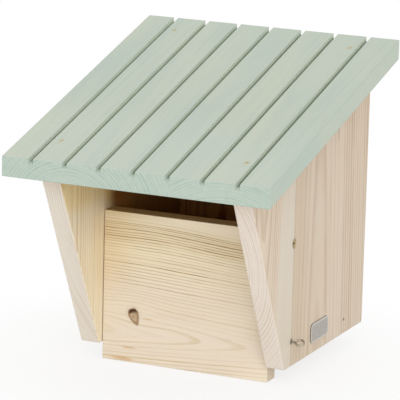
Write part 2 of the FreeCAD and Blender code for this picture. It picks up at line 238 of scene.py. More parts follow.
def bare_pine():
    """Planed pine with no finish on it: pale earlywood, browner latewood, and fibre to the touch."""
    pine, given, gives = shared_effect("bare_pine", {
        **floats(*WOOD, *CUTS, "Contrast"), **dict.fromkeys(("Early", "Late", "Sap", "Warm"), "Color"),
    }, {"Color": "Color", "Roughness": "Float", "Height": "Float"})
    late, across = given["Latewood"], given["End Grain"]
    ground = pine.mix(given["Sapwood"], given["Early"], given["Sap"])
    ground = pine.mix(pine.ramp(given["Drift"], 0.4, 0.75), ground, given["Warm"])
    line = pine.times(late, given["Contrast"], pine.scaled(given["Sapwood"], -0.8, 1.0))
    tone = pine.add(1.0, pine.swing(given["Streak"], 0.12), pine.swing(given["Fibre"], 0.12))
    tone = pine.times(tone, pine.scaled(given["Pores"], -0.10, 1.0))
    colour = pine.shaded(pine.mix(line, ground, given["Late"]), tone)
    sawn_end, sawn_slant = seen(214, 197, 178), seen(232, 225, 219)
    colour = pine.mix(pine.times(across, 0.45), colour, sawn_end)
    colour = pine.mix(pine.times(given["Slant Cut"], 0.55), colour, sawn_slant)
    colour = pine.mix(pine.times(given["Eased Edge"], 0.25), colour, given["Sap"])
    pine.feed(gives["Color"], colour)
    planed = 0.58
    pine.feed(gives["Roughness"], pine.add(
        planed, pine.swing(given["Fibre"], 0.2), pine.times(late, -0.1), pine.times(across, 0.16)))
    pine.feed(gives["Height"], pine.add(
        pine.times(late, 0.5), pine.times(given["Fibre"], 0.7), pine.times(given["Streak"], 0.3),
        pine.times(given["Pores"], -0.4)))
    return pine.tree


GROWTH_RINGS, BOARD_FACES, BARE_PINE = growth_rings(), board_faces(), bare_pine()
CHAMBER_FLOOR = -0.127


def stave(pith, lie, ring, seed, crowding=0.0, taper=0.01, waver=0.0015, heart=1.0, late=0.2, phase=0.0):
    """Where in a trunk a stave was sawn, its pith and its lie, and how that trunk grew, in metres."""
    growth = {"Ring Width": ring, "Crowding": crowding, "Taper": taper, "Waver": waver, "Heartwood": heart,
              "Late Start": late, "Phase": phase, "Seed": seed}
    return pith, tuple(map(math.radians, lie)), growth


class Board:
    """A board's finish while it is being mixed: what it is sawn from, and the colour that it has so far."""

    def __init__(self, name, grain, faces, staves, joint=None, bends=()):
        self.material, self.recipe = new_finish(name)
        mixed = self.recipe
        spot = mixed.node("TexCoord").outputs
        self.place, self.normal = spot["Object"], spot["Normal"]
        self.bend = 0.0
        for bend in bends:
            self.bend = mixed.add(bend(self), self.bend)
        self.joint = 0.0
        if joint:
            axis, where = joint
            along = mixed.axis(self.place, axis)
            self.joint = mixed.math("GREATER_THAN", along, where)
            glue_line = 0.0003, 0.0001
            self.glue = mixed.ramp(mixed.off(along, where), *glue_line)
        self.grown = mixed.shared(GROWTH_RINGS, self.sawn_from(staves))
        self.faces = mixed.shared(BOARD_FACES, {
            "Normal": self.normal, "Grain": grain, **dict(zip(FACES, faces))})

    def either(self, values):
        """One value for a board of one stave, or the value of the stave on either side of the glue joint."""
        first, last = values[0], values[-1]
        return first if first == last else self.recipe.scaled(self.joint, last - first, first)

    def sawn_from(self, staves):
        """What the rings need to know of one stave, or of two that meet at the glue joint."""
        places = []
        for pith, lie, _ in staves:
            wired = {"Vector": self.place, "Location": pith, "Rotation": lie}
            places.append(self.recipe.node("Mapping", wired, vector_type="TEXTURE").outputs["Vector"])
        place = places[0]
        if len(places) == 2:
            wired = {0: self.joint, 4: places[0], 5: places[1]}
            place = self.recipe.node("Mix", wired, data_type="VECTOR").outputs[1]
        growths = [growth for _, _, growth in staves]
        grew = {name: self.either([growth[name] for growth in growths]) for name in growths[0]}
        return {"Place": place, "Bend": self.bend, **grew}

    def traits(self, names):
        return {name: (self.grown if name in WOOD else self.faces)[name] for name in names}

    def bare(self, early, late, sap, warm, contrast):
        """Mixes the colours of bare pine; a list of two gives each stave its own."""
        mixed = self.recipe
        wired = {"Contrast": contrast, **self.traits(WOOD + CUTS)}
        for name, tint in {"Early": early, "Late": late, "Sap": sap, "Warm": warm}.items():
            wired[name] = mixed.mix(self.joint, *tint) if isinstance(tint, list) else tint
        made = mixed.shared(BARE_PINE, wired)
        self.colour, self.roughness, self.height = made["Color"], made["Roughness"], made["Height"]
        return self

    def near(self, centre, reach, ragged):
        """A soft spot about a point, over that reach along X, Y and Z: 1 at its middle and 0 at its edge."""
        mixed = self.recipe
        away = mixed.vector("DIVIDE", mixed.vector("SUBTRACT", self.place, centre), reach)
        away = mixed.add(mixed.vector("LENGTH", away), mixed.swing(self.grown["Streak"], ragged))
        return mixed.ramp(away, 1.0, 0.25)

    def facing(self, towards):
        """A mask of the faces that look in that direction."""
        return self.recipe.ramp(self.recipe.vector("DOT_PRODUCT", self.normal, towards), 0.6, 0.9)

    def over(self, mask, tint, share=1.0):
        """Lays a tint over the colour so far, where the mask has it."""
        self.colour = self.recipe.mix(self.recipe.times(mask, share), self.colour, tint)
        return self

    def toned(self, mask, tint, share=1.0):
        """Darkens the colour so far by a tint, where the mask has it."""
        return self.over(mask, self.recipe.mix(1.0, self.colour, tint, "MULTIPLY"), share)

    def painted_chamber_shade(self, mask):
        """Paints the chamber's shade on the wood as dark brown, above its floor and where the mask has it.
        """
        brown = seen(165, 117, 46)
        height = self.recipe.axis(self.place, "Z")
        inside = self.recipe.ramp(height, CHAMBER_FLOOR - 0.002, CHAMBER_FLOOR - 0.0005)
        return self.toned(self.recipe.times(mask, inside), brown, share=0.95)

    def put_on(self, node):
        """Wires the colour, gloss and relief to the shader, and lays the finish on a CAD node."""
        mixed = self.recipe
        shader = mixed.tree.nodes["Principled BSDF"].inputs
        mixed.feed(shader["Base Color"], self.colour)
        mixed.feed(shader["Roughness"], self.roughness)
        mixed.feed(shader["Specular IOR Level"], 0.25)
        bump = mixed.node("Bump", {"Height": self.height, "Distance": 0.00012, "Strength": 0.7})
        mixed.feed(shader["Normal"], bump.outputs["Normal"])
        lay_on(self.material, node)


SQUARE = [(1, 0, 0), (0, 1, 0), (0, 0, 1), (0, 0, 1), (0, 0, 1)]
UPRIGHT = (0, 0, 0)
back = Board("back_pine", (0, 0, 1), SQUARE, [
    stave(pith=(-0.040, 0.030, 0.0), lie=UPRIGHT, ring=0.0034, seed=3.1),
    stave(pith=(0.050, -0.062, 0.0), lie=UPRIGHT, ring=0.0028, seed=7.4, taper=-0.02),
], joint=("X", 0.012))
back.bare(early=seen(230, 211, 180), late=seen(160, 116, 70), sap=seen(229, 216, 194),
          warm=seen(218, 194, 156), contrast=0.9)
# The back's face towards the chamber gets the painted chamber shade.
back.painted_chamber_shade(back.facing((0, -1, 0))).put_on("back_panel")


# The floor is a pine board laid between the sides with its grain running across, against the back. Four
# holes drain it, and its front edge is the stop that the front board hangs against.

LEVEL = (0, 90, 0)
floor_board = Board("floor_pine", (1, 0, 0), SQUARE, [
    stave(pith=(0.0, -0.080, -0.196), lie=LEVEL, ring=0.0036, seed=12.7, taper=0.03, waver=0.003),
])
floor_board.bare(early=seen(224, 206, 174), late=seen(172, 130, 84), sap=seen(229, 218, 199),
                 warm=seen(219, 195, 156), contrast=1.0)
# The floor's top gets the painted chamber shade at this share.
CHAMBER_SHADE_ON_FLOOR = 0.7
on_top = floor_board.recipe.times(floor_board.facing((0, 0, 1)), CHAMBER_SHADE_ON_FLOOR)
floor_board.painted_chamber_shade(on_top).put_on("floor_panel")


# Both sides are pine boards with their grain upright and their front edge sawn at a slant, so that they
# reach out under the roof. They are glued up from two staves, and the right one has sapwood at its joint.

LEANS_OUT, OVER_HEIGHT, FALL = 0.0895, 0.183, math.radians(15.5)
SLANT = math.atan2(LEANS_OUT, OVER_HEIGHT)
OUT_OF_THE_ROOF = (0, -math.sin(FALL), math.cos(FALL))
SIDE_FACES = [(1, 0, 0), (0, 1, 0), (0, 0, 1), (0, -math.cos(SLANT), -math.sin(SLANT)), OUT_OF_THE_ROOF]
OUTER_FACE = 0.1015

left = Board("left_side_pine", (0, 0, 1), SIDE_FACES, [
    stave(pith=(-0.0085, -0.262, 0.0), lie=UPRIGHT, ring=0.0021, seed=21.3, taper=0.004, waver=0.001,
          heart=0.115, phase=0.45),
    stave(pith=(-0.130, -0.060, 0.0), lie=UPRIGHT, ring=0.0036, seed=26.8, taper=0.018),
], joint=("Y", -0.128))
# The left board's colours are painted lighter than the right's, as painted light against the shade on its
# inner face; its slant cut and outer face are toned back towards the right board's colours.
left.bare(early=seen(250, 241, 218), late=seen(212, 178, 124), sap=seen(248, 236, 210),
          warm=seen(248, 234, 204), contrast=0.75)
left.over(left.faces["Slant Cut"], seen(212, 204, 192), share=0.5)
left.over(left.facing((-1, 0, 0)), seen(226, 209, 188), share=0.35)

right = Board("right_side_pine", (0, 0, 1), SIDE_FACES, [
    stave(pith=(0.0615, -0.247, 0.0), lie=UPRIGHT, ring=0.0023, seed=33.9, taper=-0.034, waver=0.0008,
          heart=0.0562),
    stave(pith=(0.0415, -0.117, -0.050), lie=(1.1, 0, 0), ring=0.0045, seed=38.2, taper=0.018,
          waver=0.0010),
], joint=("Y", -0.177))
on_right = right.recipe
OUTER_RINGS, REAR_STAVE_LINES, FRONT_STAVE_LINES = (0.060, 0.095), (0.45, 0.95), 0.62
settled = on_right.larger(on_right.ramp(right.grown["Radius"], *OUTER_RINGS, *REAR_STAVE_LINES),
                          on_right.ramp(right.joint, 1.0, 0.0, 0.0, FRONT_STAVE_LINES))
right.bare(early=[seen(229, 213, 192), seen(222, 207, 187)],
           late=[seen(178, 146, 112), seen(184, 153, 122)],
           sap=seen(226, 216, 200), warm=seen(220, 202, 179), contrast=settled)
DARKER_STRIP, PALE_BAND, PALE_WIDTH = (-0.130, -0.165), -0.075, (0.024, 0.008)
RESIN_STREAK, STREAK_REACH = (OUTER_FACE, -0.077, 0.050), (0.01, 0.0016, 0.012)
across_right = on_right.axis(right.place, "Y")
behind_the_joint = on_right.times(right.joint, on_right.ramp(across_right, *DARKER_STRIP))
right.over(behind_the_joint, seen(202, 180, 150), share=0.3)
in_the_pale_band = on_right.ramp(on_right.off(across_right, PALE_BAND), *PALE_WIDTH)
right.over(in_the_pale_band, seen(234, 221, 204), share=0.25)
right.over(right.glue, seen(170, 150, 122), share=0.35)
right.over(right.near(RESIN_STREAK, STREAK_REACH, ragged=0.6), seen(150, 124, 96), share=0.6)

PIVOT_LINE, SCREW_BRUISE_AND_SHADE = (-0.176, -0.0355), (0.02, 0.0066, 0.0066)
LOCK_LINE, LOCK_HOLE_SHADE = (-0.176, -0.1265), (0.004, 0.0040, 0.0040)
BRAD_LINES, BRAD_BRUISE_AND_SHADE = ((-0.1444, -0.136), (-0.0482, -0.136)), (0.004, 0.0030, 0.0026)
CHAMBER_FRONT, FRONT_TOP = -0.167, -0.0245
for side, outside, node, saw_lines in ((left, -OUTER_FACE, "left_side", 0.55),
                                       (right, OUTER_FACE, "right_side", 0.28)):
    on_side = side.recipe
    sawn_rings = on_side.times(side.faces["Slant Cut"], side.grown["Latewood"])
    side.over(sawn_rings, seen(188, 168, 150), share=saw_lines)
    inside = side.facing((-math.copysign(1.0, outside), 0, 0))
    height = on_side.axis(side.place, "Z")
    depth = on_side.add(on_side.axis(side.place, "Y"), on_side.swing(side.grown["Streak"], 0.004))
    # Painted shade: above the front board's top the inner face is toned darker and yellower, under the roof.
    painted_roof_shade = on_side.times(inside, on_side.ramp(height, FRONT_TOP + 0.002, FRONT_TOP + 0.020))
    side.toned(painted_roof_shade, seen(252, 246, 220))
    # Painted shade: near the mouth, above the front board's top edge, the inner face is toned warmer and
    # darker.
    painted_mouth_shade = on_side.times(inside, on_side.ramp(depth, CHAMBER_FRONT - 0.026, CHAMBER_FRONT - 0.008),
                                 on_side.ramp(height, FRONT_TOP - 0.004, FRONT_TOP + 0.010))
    side.toned(painted_mouth_shade, seen(238, 222, 188))
    # Behind the front board the inner face gets the painted chamber shade.
    behind_the_front = on_side.ramp(depth, CHAMBER_FRONT - 0.013, CHAMBER_FRONT + 0.009)
    side.painted_chamber_shade(on_side.times(inside, behind_the_front))
    # Round each pivot screw head: bruised wood, with a painted shadow of its countersink.
    side.over(side.near((outside, *PIVOT_LINE), SCREW_BRUISE_AND_SHADE, ragged=0.5), seen(112, 92, 62), share=0.8)
    # Round each brad: bruised wood, with painted shade of its sunk hole.
    for brad in BRAD_LINES:
        side.over(side.near((outside, *brad), BRAD_BRUISE_AND_SHADE, ragged=0.6), seen(124, 102, 78), share=0.6)
    if side is right:
        # A painted shadow of the eye's hole, dark round its shank.
        side.over(side.near((outside, *LOCK_LINE), LOCK_HOLE_SHADE, ragged=0.4), seen(44, 33, 16), share=0.95)
    side.put_on(node)


# The front board is pine with its grain level and one knot in it. It turns on two pivot screws near its
# top edge, and hangs lower than the sides, so that fingers can lift it.

def grain_bend():
    """Grain that a branch has pushed aside, or parted: how far each ring lies out of its place."""
    bent, given, gives = shared_effect(
        "grain_bend", {"Around": "Vector", "Push": "Float", "Part": "Float"}, {"Bend": "Float"})
    away = bent.vector("LENGTH", given["Around"])
    fade = bent.math("EXPONENT", bent.times(away, away, -1.0))
    parted = bent.times(bent.axis(given["Around"], "Z"), given["Part"])
    bent.feed(gives["Bend"], bent.times(fade, bent.add(given["Push"], parted)))
    return bent.tree


GRAIN_BEND = grain_bend()


def branch(centre, reach, push=0.0, parting=0.0):
    """Grain that leaves its course round a branch at that centre, over that reach along X, Y and Z."""
    def bend(board):
        away = board.recipe.vector("SUBTRACT", board.place, centre)
        away = board.recipe.vector("DIVIDE", away, reach)
        return board.recipe.shared(GRAIN_BEND, {"Around": away, "Push": push, "Part": parting})["Bend"]
    return bend


FRONT_FACE = -0.185
front = Board("front_pine", (1, 0, 0), SQUARE, [
    stave(pith=(0.0, -0.177, -0.136), lie=LEVEL, ring=0.0052, seed=45.6, crowding=7.0, taper=0.040,
          waver=0.0018, heart=0.1035, late=0.5),
], bends=[
    branch((-0.025, FRONT_FACE, -0.045), (0.055, 0.05, 0.028), push=-0.003),
    branch((-0.0505, FRONT_FACE, -0.1205), (0.026, 0.05, 0.016), parting=-0.009),
    branch((-0.085, FRONT_FACE, -0.136), (0.100, 0.05, 0.018), push=-0.012),
])
on_front, from_pith = front.recipe, front.grown["Radius"]
across_front, up_the_front = on_front.axis(front.place, "X"), on_front.axis(front.place, "Z")


def grown_about(middle, reach):
    """The front board's rings about that far from the pith: 1 at the middle, and 0 beyond the reach."""
    return on_front.ramp(on_front.off(from_pith, middle), reach, 0.4 * reach)


DARK_BAND, FAINT_BAND, FAINT_SHARE = (0.0895, 0.013), (0.064, 0.008), 0.45
MIDDLE_OF_BAND, PALER_MIDDLE = -0.010, (0.010, 0.055)
off_the_middle = on_front.ramp(on_front.off(across_front, MIDDLE_OF_BAND), *PALER_MIDDLE, 0.7, 1.0)
dark_years = on_front.larger(on_front.times(grown_about(*DARK_BAND), off_the_middle),
                             on_front.times(grown_about(*FAINT_BAND), FAINT_SHARE))
PITH_TO_BARK, DOWN_TO_THE_FOOT = (0.006, 0.090), (-0.140, -0.156)
grown_up = on_front.larger(on_front.ramp(from_pith, *PITH_TO_BARK, 0.75, 1.7),
                           on_front.ramp(up_the_front, *DOWN_TO_THE_FOOT, 0.4, 1.3))
matured = on_front.times(grown_up, on_front.scaled(dark_years, 0.6, 0.6))
YELLOWER_RINGS, BROWNER_RINGS = (0.030, 0.085), (0.015, 0.060)
yellower, browner = on_front.ramp(from_pith, *YELLOWER_RINGS), on_front.ramp(from_pith, *BROWNER_RINGS)
front.bare(early=on_front.mix(yellower, seen(227, 214, 196), seen(237, 225, 196)),
           late=on_front.mix(browner, seen(194, 171, 116), seen(150, 120, 62)),
           sap=seen(226, 211, 178),
           warm=on_front.mix(yellower, seen(225, 211, 187), seen(235, 220, 187)), contrast=matured)
front.over(on_front.times(dark_years, yellower), seen(208, 176, 124), share=0.22)
LEFT_END, RIGHT_END, PALE_RINGS = (-0.040, -0.083), (0.035, 0.075), (0.052, 0.045)
LAST_RINGS, LAST_RINGS_ACROSS = (0.097, 0.107), (-0.075, 0.0)
at_left_end = on_front.times(on_front.ramp(across_front, *LEFT_END), browner)
front.over(at_left_end, seen(208, 178, 124), share=0.3)
# The last rings under the bark are pale sapwood, lifted further by painted light against the roof's shade at
# the board's top.
sapwood_and_painted_light = on_front.times(on_front.ramp(from_pith, *LAST_RINGS),
                            on_front.ramp(across_front, *LAST_RINGS_ACROSS))
front.over(sapwood_and_painted_light, seen(246, 235, 212), share=0.85)
# Painted light: paler towards the right end, where the right wing shades the board.
painted_light_at_right_end = on_front.times(on_front.ramp(across_front, *RIGHT_END), grown_about(*PALE_RINGS))
front.over(painted_light_at_right_end, seen(242, 230, 208), share=0.4)
# Painted shade of the roof on the front board's top edge: olive brown.
front.over(front.facing((0, 0, 1)), seen(154, 122, 62), share=0.75)
RESIN_FLECKS = [((-0.062, FRONT_FACE, -0.1625), (0.016, 0.004, 0.0022)),
                ((-0.056, FRONT_FACE, -0.1516), (0.010, 0.004, 0.0014)),
                ((-0.037, FRONT_FACE, -0.1222), (0.009, 0.004, 0.0012))]
for centre, reach in RESIN_FLECKS:
    front.over(front.near(centre, reach, ragged=0.9), seen(200, 154, 98), share=0.6)


def knot():
    """The sawn end of a branch: a pale core with its own rings, a brown rim, and bark at one end."""
    sawn, given, gives = shared_effect(
        "knot", {"Place": "Vector", "Narrowing": "Float"}, floats("Core", "Rings", "Rim", "Bark"))
    ragged = sawn.swing(sawn.noise(given["Place"], seed=5.0, scale=2.2), 0.35)
    x, z = sawn.axis(given["Place"], "X"), sawn.axis(given["Place"], "Z")
    across = sawn.math("DIVIDE", x, sawn.scaled(z, given["Narrowing"], 1.0))
    away = sawn.math("SQRT", sawn.add(sawn.times(across, across), sawn.times(z, z)))
    away = sawn.add(away, ragged)
    inside = sawn.ramp(away, 1.14, 0.88)
    off_centre, ring_count = 0.4, 13.0
    wave = sawn.math("SINE", sawn.times(sawn.add(away, sawn.times(x, off_centre)), ring_count))
    upper = sawn.ramp(sawn.add(z, sawn.times(across, 0.1), sawn.times(ragged, 1.2)), 0.30, 0.72)
    sawn.feed(gives["Core"], inside)
    sawn.feed(gives["Rings"], sawn.times(sawn.ramp(wave, 0.0, 1.0), inside))
    sawn.feed(gives["Rim"], sawn.times(sawn.ramp(away, 0.45, 0.85), sawn.ramp(away, 1.25, 0.95)))
    sawn.feed(gives["Bark"], sawn.times(upper, inside))
    return sawn.tree


KNOT, KNOT_SIZE, KNOT_TILT = (-0.0508, FRONT_FACE, -0.1217), (0.0046, 0.02, 0.0076), math.radians(-23)
knot_place = on_front.node("Mapping", {
    "Vector": front.place, "Location": KNOT, "Rotation": (0, KNOT_TILT, 0), "Scale": KNOT_SIZE,
}, vector_type="TEXTURE")
branch_end = on_front.shared(knot(), {"Place": knot_place.outputs["Vector"], "Narrowing": 0.35})
KNOT_HALO, HALO_REACH = (-0.0520, FRONT_FACE, -0.1190), (0.011, 0.02, 0.0125)
front.over(front.near(KNOT_HALO, HALO_REACH, ragged=0.4), seen(206, 184, 156), share=0.45)
front.over(branch_end["Core"], seen(184, 160, 126), share=0.85)
front.over(branch_end["Rings"], seen(140, 112, 80), share=0.55)
front.over(branch_end["Rim"], seen(142, 108, 70), share=0.7)
front.over(branch_end["Bark"], seen(66, 38, 14)).put_on("front_panel")


# The roof is one board of two staves, sawn plumb at both ends, with seven grooves milled along its fall.
# A thin pale green stain lets a little of the grain through, and soaks deeper into the sawn ends.

STAIN_SHOWS = ("Latewood", "Fibre", "Streak", "Drift", "Pores", "End Grain", "Eased Edge")


def green_stain():
    """A thin stain on pine: brushed on along the board, thin in places, and soaked into end grain."""
    stained, given, gives = shared_effect("green_stain", {
        "Place": "Vector", **floats(*STAIN_SHOWS),
        **dict.fromkeys(("Stain", "Soaked", "Thin", "Line", "Heavy"), "Color"),
    }, {"Color": "Color"})
    across = given["End Grain"]
    colour = stained.mix(stained.ramp(given["Drift"], 0.45, 0.75), given["Stain"], given["Thin"])
    drawn_out = stained.vector("MULTIPLY", given["Place"], (1.0, 0.2, 0.2))
    brushed = stained.ramp(stained.noise(drawn_out, seed=2.0, scale=36, detail=4.0), 0.40, 0.68)
    colour = stained.mix(brushed, colour, given["Heavy"])
    uneven = stained.times(stained.ramp(given["Streak"], 0.3, 0.7), 0.16)
    colour = stained.mix(across, colour, stained.mix(uneven, given["Soaked"], given["Thin"]))
    line = stained.times(given["Latewood"], stained.scaled(across, 0.64, 0.16))
    colour = stained.mix(line, colour, given["Line"])
    tone = stained.add(1.0, stained.swing(given["Streak"], 0.09), stained.swing(given["Fibre"], 0.08))
    colour = stained.shaded(colour, stained.times(tone, stained.scaled(given["Pores"], -0.05, 1.0)))
    colour = stained.mix(stained.times(given["Eased Edge"], 0.6), colour, given["Soaked"])
    stained.feed(gives["Color"], colour)
    return stained.tree


DOWN_THE_FALL, EAVES = (-90 + math.degrees(FALL), 0, 0), -0.300
ROOF_FACES = [(1, 0, 0), (0, 1, 0), OUT_OF_THE_ROOF, (0, 1, 0), (0, 1, 0)]
roof = Board("roof_stain", (0, math.cos(FALL), math.sin(FALL)), ROOF_FACES, [
    stave(pith=(-0.062, EAVES, -0.014), lie=DOWN_THE_FALL, ring=0.0030, seed=51.2, taper=0.012,
          waver=0.0012),
    stave(pith=(0.086, EAVES, -0.046), lie=DOWN_THE_FALL, ring=0.0028, seed=57.7, taper=-0.010,
          waver=0.0012),
], joint=("X", 0.035))
on_roof = roof.recipe
stain = on_roof.shared(green_stain(), {
    **roof.traits(STAIN_SHOWS), "Place": roof.place,
    "Stain": seen(197, 207, 192), "Soaked": seen(181, 195, 183), "Thin": seen(203, 208, 189),
    "Line": seen(154, 178, 163), "Heavy": seen(192, 204, 191),
})
roof.bare(early=seen(224, 200, 160), late=seen(176, 136, 88), sap=seen(228, 210, 178),
          warm=seen(216, 188, 144), contrast=0.7)
not_underneath = on_roof.ramp(on_roof.vector("DOT_PRODUCT", roof.normal, OUT_OF_THE_ROOF), -0.85, -0.5)
roof.over(not_underneath, stain["Color"])
roof.over(on_roof.times(roof.faces["Eased Edge"], not_underneath), seen(172, 187, 174), share=0.5)
FADING_DOWN_THE_FALL = (-0.170, -0.240)
up_the_fall = on_roof.axis(roof.place, "Y")
weathered = on_roof.times(roof.facing(OUT_OF_THE_ROOF), on_roof.ramp(up_the_fall, *FADING_DOWN_THE_FALL))
roof.over(weathered, seen(216, 224, 210), share=0.18)

ROOF_AT_WALL, ROOF_THICKNESS, SHORT_OF_THE_EDGES = 0.1065, 0.018, 0.1275
GROOVE_DEPTH, WALL_DEPTHS, MOUTH_DEPTHS = 0.0048, (0.0001, 0.0009), (0.0012, 0.0026)
ROOF_TOP = ROOF_AT_WALL * math.cos(FALL) + ROOF_THICKNESS
sunk = on_roof.math("SUBTRACT", ROOF_TOP, on_roof.vector("DOT_PRODUCT", roof.place, OUT_OF_THE_ROOF))
from_middle = on_roof.off(on_roof.axis(roof.place, "X"), 0.0)
in_groove = on_roof.times(
    on_roof.ramp(sunk, GROOVE_DEPTH + 0.0006, GROOVE_DEPTH + 0.0002),
    on_roof.math("LESS_THAN", from_middle, SHORT_OF_THE_EDGES),
    on_roof.math("SUBTRACT", 1.0, roof.faces["End Grain"]))
# Painted light: the groove walls are lighter than the stain, against the shade inside the grooves.
painted_light_on_walls = on_roof.times(in_groove, on_roof.ramp(sunk, *WALL_DEPTHS),
                      on_roof.ramp(up_the_fall, EAVES - 0.001, EAVES + 0.015))
roof.over(painted_light_on_walls, seen(224, 231, 215), share=0.9)
# Deeper in the grooves: darker pooled stain, and painted shade with it.
pooled_stain_and_shade = on_roof.times(in_groove, on_roof.ramp(sunk, 0.0022, GROOVE_DEPTH),
                       on_roof.ramp(up_the_fall, EAVES, EAVES + 0.012, 0.8, 1.0))
roof.over(pooled_stain_and_shade, seen(126, 144, 122), share=0.8)
# Painted light: near the eaves the groove floor is lifted to the face's colour, against the notch's shade.
mouth = on_roof.times(in_groove, on_roof.ramp(sunk, *MOUTH_DEPTHS),
                      on_roof.ramp(up_the_fall, EAVES + 0.0075, EAVES + 0.0035))
roof.over(mouth, seen(202, 213, 201), share=0.95)

NAIL_ACROSS, NAIL_DEPTHS, HEADS_AT_WALL = 0.0896, (-0.027, -0.262), 0.1252
SMUDGE = (0.0038, 0.0075, 0.006)
for x in (-NAIL_ACROSS, NAIL_ACROSS):
    for y in NAIL_DEPTHS:
        head = (x, y, HEADS_AT_WALL + y * math.tan(FALL))
        roof.over(roof.near(head, SMUDGE, ragged=0.9), seen(204, 192, 158), share=0.5)
roof.put_on("roof_board")


# Pivot screws: two countersunk wood screws with a cross recess, plated in yellow zinc. They are driven
# into the front board's ends and turn in holes in the sides.

def plating():
    """Plated or drawn metal: soft clouding, fine scratches, spots, and the lines that brushing leaves."""
    worn, given, gives = shared_effect(
        "plating", {"Place": "Vector", "Seed": "Float"}, floats("Cloud", "Scratch", "Spot", "Brushed"))
    place, seed = given["Place"], given["Seed"]
    worn.feed(gives["Cloud"], worn.ramp(worn.noise(place, seed, scale=420), 0.3, 0.7))
    worn.feed(gives["Scratch"], worn.noise(place, seed, scale=5200, along=0.06))
    worn.feed(gives["Spot"], worn.ramp(worn.noise(place, seed, scale=1500, detail=3.0), 0.56, 0.68))
    worn.feed(gives["Brushed"], worn.noise(place, seed, scale=1300, along=0.015))
    return worn.tree


PLATING = plating()


def metal_finish(name, seed, clean, cloudy, spots, spot_share, roughness, dulling=0.2, brushed=0.0,
                 lie=UPRIGHT, grime_and_shade=None, painted_sheen=None):
    """A metal material: two tints of plating that drift into each other, with spots of a third, scratches
    that lie along Z or were turned from it, and, where a function says so, darker stains with painted shade
    and a painted highlight."""
    material, mixed = new_finish(name)
    spot = mixed.node("TexCoord").outputs
    place, normal = spot["Object"], spot["Normal"]
    turned = mixed.node("Mapping", {"Vector": place, "Rotation": tuple(map(math.radians, lie))})
    worn = mixed.shared(PLATING, {"Place": turned.outputs["Vector"], "Seed": seed})
    colour = mixed.mix(worn["Cloud"], clean, cloudy)
    colour = mixed.mix(mixed.times(worn["Spot"], spot_share), colour, spots)
    colour = mixed.shaded(colour, mixed.add(1.0, mixed.swing(worn["Brushed"], brushed)))
    gloss = mixed.add(roughness, mixed.times(worn["Cloud"], dulling), mixed.swing(worn["Scratch"], 0.12))
    sheen_colour, grime_and_shade_colour = seen(222, 216, 208), seen(52, 44, 30)
    if painted_sheen:
        colour = mixed.mix(painted_sheen(mixed, place), colour, sheen_colour)
    if grime_and_shade:
        grime_and_shade_mask = grime_and_shade(mixed, place, normal)
        colour = mixed.mix(grime_and_shade_mask, colour, grime_and_shade_colour)
        gloss = mixed.add(gloss, mixed.times(grime_and_shade_mask, 0.3))
    shader = mixed.tree.nodes["Principled BSDF"].inputs
    mixed.feed(shader["Base Color"], colour)
    mixed.feed(shader["Metallic"], 1.0)
    mixed.feed(shader["Roughness"], gloss)
    bump = mixed.node("Bump", {"Height": worn["Scratch"], "Distance": 0.000005, "Strength": 0.6})
    mixed.feed(shader["Normal"], bump.outputs["Normal"])
    return material


HEAD_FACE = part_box("right_pivot_screw")[1].x
RECESS_RIM, HEAD_RIM = (0.0030, 0.0026), (0.0034, 0.0040)


def shade_in_the_recess(mixed, place, normal):
    """Painted shade in a pivot screw's cross recess and round the rim of its head."""
    outwards = mixed.off(mixed.axis(place, "X"), 0.0)
    off_axis = mixed.vector("SUBTRACT", place, (0, *PIVOT_LINE))
    off_axis = mixed.vector("LENGTH", mixed.vector("MULTIPLY", off_axis, (0, 1, 1)))
    sunk_in = mixed.ramp(outwards, HEAD_FACE - 0.00005, HEAD_FACE - 0.0004)
    recess = mixed.times(sunk_in, mixed.ramp(off_axis, *RECESS_RIM))
    return mixed.larger(recess, mixed.times(mixed.ramp(off_axis, *HEAD_RIM), 0.7))


yellow_zinc = metal_finish(
    "yellow_zinc", seed=3.3, clean=seen(196, 176, 124), cloudy=seen(172, 150, 98), spots=seen(128, 110, 74),
    spot_share=0.7, roughness=0.3, grime_and_shade=shade_in_the_recess)
lay_on(yellow_zinc, "left_pivot_screw", "right_pivot_screw")


# The lock is a screw eye, bent from zinc-plated wire with a thread rolled on its shank. It is screwed
# through the right side until its tip enters the front board's end; here it is backed off.

EYE_WIRE, EYE_RING, EYE_BEND = 0.0021, 0.0093, 0.0018
EYE_STANDOFF, EYE_MOUTH, EYE_TIP, EYE_TILT = 0.0038, 0.0020, -0.0178, math.radians(28)
THREAD_PITCH, THREAD_DEPTH, THREAD_END, RIDGE = 0.0011, 0.00032, -0.0040, 0.3
GIMLET, BLUNT = 0.0024, 0.12
AROUND, THREAD_STEPS, BEND_STEPS, RING_STEPS = 28, 14, 8, 72


def eye_line():
    """The wire's centre line from tip to mouth: points in its plane, with the direction at each."""
    ring = (EYE_RING - EYE_WIRE) / 2
    centre = EYE_STANDOFF + EYE_RING / 2
    lean = math.asin(EYE_BEND / (ring + EYE_BEND))
    neck = centre - (ring + EYE_BEND) * math.cos(lean)
    line = []
    steps = round((neck - EYE_TIP) / THREAD_PITCH * THREAD_STEPS)
    for step in range(steps):
        line.append((EYE_TIP + (neck - EYE_TIP) * step / steps, 0.0, 0.0))
    for step in range(BEND_STEPS):
        turn = math.pi / 2 + (lean - math.pi / 2) * step / BEND_STEPS
        line.append((neck + EYE_BEND * math.cos(turn), EYE_BEND * (math.sin(turn) - 1), turn - math.pi / 2))
    start, end = math.pi + lean, 3 * math.pi - math.asin(EYE_MOUTH / ring)
    for step in range(RING_STEPS + 1):
        turn = start + (end - start) * step / RING_STEPS
        line.append((centre + ring * math.cos(turn), ring * math.sin(turn), turn + math.pi / 2))
    return line


